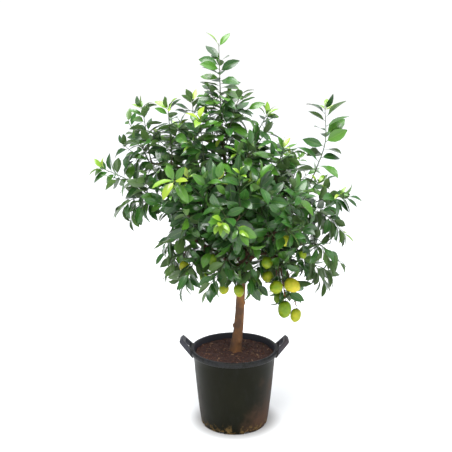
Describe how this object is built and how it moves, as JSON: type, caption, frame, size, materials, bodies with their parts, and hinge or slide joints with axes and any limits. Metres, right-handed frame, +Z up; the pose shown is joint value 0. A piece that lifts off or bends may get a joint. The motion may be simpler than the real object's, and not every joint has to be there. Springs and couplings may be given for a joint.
{
  "type": "potted lemon tree",
  "caption": "Young lemon tree with a leafy branching crown and ripening fruit, growing in a black nursery container with two lip handles.",
  "frame": {"origin": "centre of the flat underside of the container, on the container's own axis", "axes": "+Z up through the tree, +X towards the right-hand handle, +Y towards the back"},
  "size_m": [1.164, 0.8711, 1.7425],
  "materials": {
    "black_plastic": "satin moulded plastic, dusty, with dried mud at the foot",
    "bark_mulch": "loose damp potting mix with bark chips",
    "tree_bark": "smooth brown bark with fine cracks",
    "lemon_leaf": "glossy leathery leaf, paler underneath",
    "young_leaf": "soft new growth, yellow-green",
    "lemon_rind": "waxy dimpled rind, green turning yellow"
  },
  "bodies": {
    "root": {"pot": "black_plastic", "potting_soil": "bark_mulch", "trunk": "tree_bark", "lemon_right_1": "lemon_rind", "lemon_right_2": "lemon_rind", "lemon_right_3": "lemon_rind", "lemon_right_4": "lemon_rind", "lemon_right_5": "lemon_rind", "lemon_right_6": "lemon_rind", "lemon_right_7": "lemon_rind", "lemon_inner_1": "lemon_rind", "lemon_inner_2": "lemon_rind", "lemon_inner_3": "lemon_rind", "lemon_left_1": "lemon_rind", "lemon_left_2": "lemon_rind", "lemon_left_3": "lemon_rind", "lemon_front_1": "lemon_rind", "lemon_front_2": "lemon_rind", "lemon_back_1": "lemon_rind", "lemon_back_2": "lemon_rind", "shoot_top_leader": "lemon_leaf", "shoot_top_right": "lemon_leaf", "shoot_top_left": "lemon_leaf", "shoot_left_crest": "lemon_leaf", "shoot_left_fan": "lemon_leaf", "shoot_left_spire": "lemon_leaf", "shoot_left_inner": "lemon_leaf", "shoot_left_far": "lemon_leaf", "shoot_left_hang": "lemon_leaf", "shoot_left_low_fan": "lemon_leaf", "shoot_left_drop": "lemon_leaf", "shoot_left_under": "lemon_leaf", "shoot_right_crest": "lemon_leaf", "shoot_right_gold": "young_leaf", "shoot_right_tall": "lemon_leaf", "shoot_right_wing": "lemon_leaf", "shoot_right_hang": "lemon_leaf", "shoot_right_low_wing": "lemon_leaf", "shoot_right_low_drop": "lemon_leaf", "shoot_front_under": "lemon_leaf", "shoot_front_low": "lemon_leaf", "shoot_front_gold": "young_leaf", "shoot_front_left_gold": "young_leaf", "shoot_front_cluster": "young_leaf", "shoot_front_spire": "lemon_leaf", "shoot_front_left_mid": "lemon_leaf", "shoot_front_right_mid": "lemon_leaf", "shoot_front_right_up": "lemon_leaf", "shoot_front_upper": "lemon_leaf", "shoot_front_right_drop": "lemon_leaf", "shoot_back_crest": "lemon_leaf", "shoot_back_hang": "lemon_leaf", "shoot_back_upper": "lemon_leaf", "shoot_back_left_crest": "lemon_leaf", "shoot_back_left_mid": "lemon_leaf", "shoot_back_left_low": "lemon_leaf", "shoot_back_low_drop": "lemon_leaf", "shoot_back_right_crest": "lemon_leaf", "shoot_back_right_low": "lemon_leaf", "shoot_back_right_drop": "lemon_leaf"}
  },
  "joints": []
}
